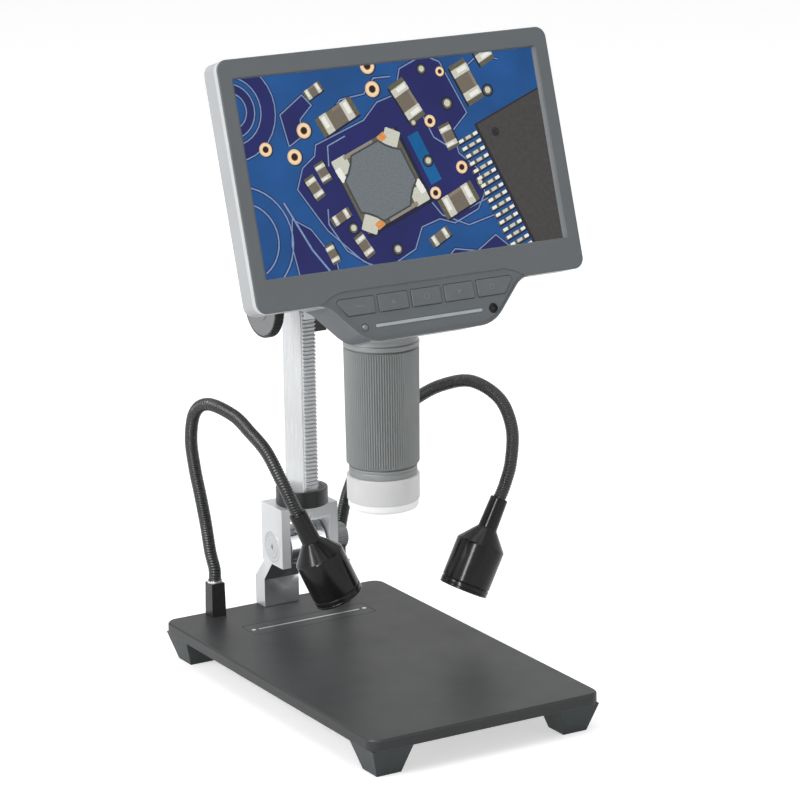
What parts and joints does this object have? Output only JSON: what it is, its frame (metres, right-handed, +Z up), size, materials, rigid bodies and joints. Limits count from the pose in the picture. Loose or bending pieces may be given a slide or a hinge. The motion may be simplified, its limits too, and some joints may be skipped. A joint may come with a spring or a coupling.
{
  "type": "digital microscope",
  "caption": "Digital inspection microscope: a leaning flat screen with keys over a focusing barrel, on a tilting rack column, a flat base and flexible neck lamps.",
  "frame": {"origin": "middle of the base's footprint, on the table that it stands on", "axes": "+X to the user's right, +Y from the screen's face to the column, +Z up"},
  "size_m": [0.1682, 0.201, 0.3088],
  "materials": {
    "plate": "satin dark grey",
    "feet": "matt dark blue-grey",
    "steel": "bright steel",
    "inlay": "matt dark grey",
    "silver": "fine brushed silver",
    "black_metal": "satin black",
    "neck": "satin black, ribbed",
    "lamp": "gloss black",
    "clear": "clear",
    "led": "white with yellow chips",
    "clamp": "satin grey",
    "rubber_black": "matt black",
    "brass": "turned",
    "knob": "satin black",
    "knob_face": "turned grey",
    "bezel": "satin grey",
    "shell": "satin silver grey",
    "picture": "glossy, lit",
    "board": "satin green",
    "key": "satin grey",
    "trim": "pale",
    "dark_window": "gloss black",
    "barrel": "satin grey, anodised",
    "milky": "milky translucent"
  },
  "bodies": {
    "stand": {"base_plate": "plate", "feet": "feet", "foot_screws": "steel", "base_inlay": "inlay", "inlay_line": "steel", "inlay_pins": "steel", "foot_bracket": "silver", "base_screws": "steel", "lamp_boots": "knob"},
    "lamp_left": {"gooseneck_left": "neck", "lamp_body_left": "lamp", "lamp_ring_left": "lamp", "lamp_lens_left": "clear", "lamp_led_left": "led"},
    "lamp_right": {"gooseneck_right": "neck", "lamp_body_right": "lamp", "lamp_ring_right": "lamp", "lamp_lens_right": "clear", "lamp_led_right": "led"},
    "column": {"fork_block": "silver", "pivot_bolt": "steel", "pivot_washers": "rubber_black", "collar": "black_metal", "column_bar": "silver", "rack_strip": "steel", "column_screws": "steel", "column_cap": "knob"},
    "clamp": {"clamp_knob": "clamp"},
    "head": {"carriage_block": "black_metal", "shaft_bushes": "brass", "tension_screw": "steel", "head_arm": "black_metal", "arm_screws": "steel", "front_bezel": "bezel", "back_shell": "shell", "lcd_panel": "picture", "main_board": "board", "key_board": "board", "indicator_light": "trim", "trim_strip": "trim", "remote_window": "dark_window", "shell_screws": "steel", "side_sockets": "steel", "barrel_tube": "barrel", "barrel_crown": "barrel", "camera_board": "board", "led_ring": "led", "light_cap": "milky"},
    "focus_drive": {"pinion_shaft": "steel", "focus_knob_left": "knob", "focus_knob_right": "knob", "knob_caps": "knob_face"},
    "focus_sleeve": {"focus_ring": "barrel"},
    "lens": {"lens_cell": "black_metal", "lens_glass": "clear"},
    "key_1_cap": {"key_1": "key"},
    "key_2_cap": {"key_2": "key"},
    "key_3_cap": {"key_3": "key"},
    "key_4_cap": {"key_4": "key"},
    "key_5_cap": {"key_5": "key"}
  },
  "joints": [
    {"name": "lamp_left_swing", "type": "hinge", "parent": "stand", "child": "lamp_left", "pos_m": [-0.0348, 0.094, 0.0353], "axis": [0, 0, 1], "range_deg": [-45, 5]},
    {"name": "lamp_right_swing", "type": "hinge", "parent": "stand", "child": "lamp_right", "pos_m": [0.0348, 0.094, 0.0353], "axis": [0, 0, 1], "range_deg": [-8, 45]},
    {"name": "column_tilt", "type": "hinge", "parent": "stand", "child": "column", "pos_m": [0, 0.071, 0.0555], "axis": [1, 0, 0], "range_deg": [-15, 20]},
    {"name": "clamp_turn", "type": "hinge", "parent": "column", "child": "clamp", "pos_m": [0.0196, 0.071, 0.0555], "axis": [1, 0, 0], "continuous": true},
    {"name": "height_slide", "type": "slide", "parent": "column", "child": "head", "axis": [0, 0, 1], "range_m": [-0.035, 0.03]},
    {"name": "focus_knob_turn", "type": "hinge", "parent": "head", "child": "focus_drive", "pos_m": [0, 0.05275, 0.18], "axis": [1, 0, 0], "range_deg": [-360, 420]},
    {"name": "focus_ring_turn", "type": "hinge", "parent": "head", "child": "focus_sleeve", "pos_m": [0, -0.01, 0.14], "axis": [0, 0, 1], "range_deg": [-135, 135]},
    {"name": "lens_slide", "type": "slide", "parent": "head", "child": "lens", "axis": [0, 0, 1], "range_m": [-0.0035, 0.0035]},
    {"name": "key_1_press", "type": "slide", "parent": "head", "child": "key_1_cap", "axis": [0, 0.9542, -0.299], "range_m": [0, 0.0008], "stiffness_N_per_m": 300, "springref_m": -0.001},
    {"name": "key_2_press", "type": "slide", "parent": "head", "child": "key_2_cap", "axis": [0, 0.9542, -0.299], "range_m": [0, 0.0008], "stiffness_N_per_m": 300, "springref_m": -0.001},
    {"name": "key_3_press", "type": "slide", "parent": "head", "child": "key_3_cap", "axis": [0, 0.9542, -0.299], "range_m": [0, 0.0008], "stiffness_N_per_m": 300, "springref_m": -0.001},
    {"name": "key_4_press", "type": "slide", "parent": "head", "child": "key_4_cap", "axis": [0, 0.9542, -0.299], "range_m": [0, 0.0008], "stiffness_N_per_m": 300, "springref_m": -0.001},
    {"name": "key_5_press", "type": "slide", "parent": "head", "child": "key_5_cap", "axis": [0, 0.9542, -0.299], "range_m": [0, 0.0008], "stiffness_N_per_m": 300, "springref_m": -0.001}
  ],
  "couplings": [
    {"joint": "focus_knob_turn", "follows": "height_slide", "rad_per_m": -208.33},
    {"joint": "focus_ring_turn", "follows": "lens_slide", "rad_per_m": 666.67}
  ]
}
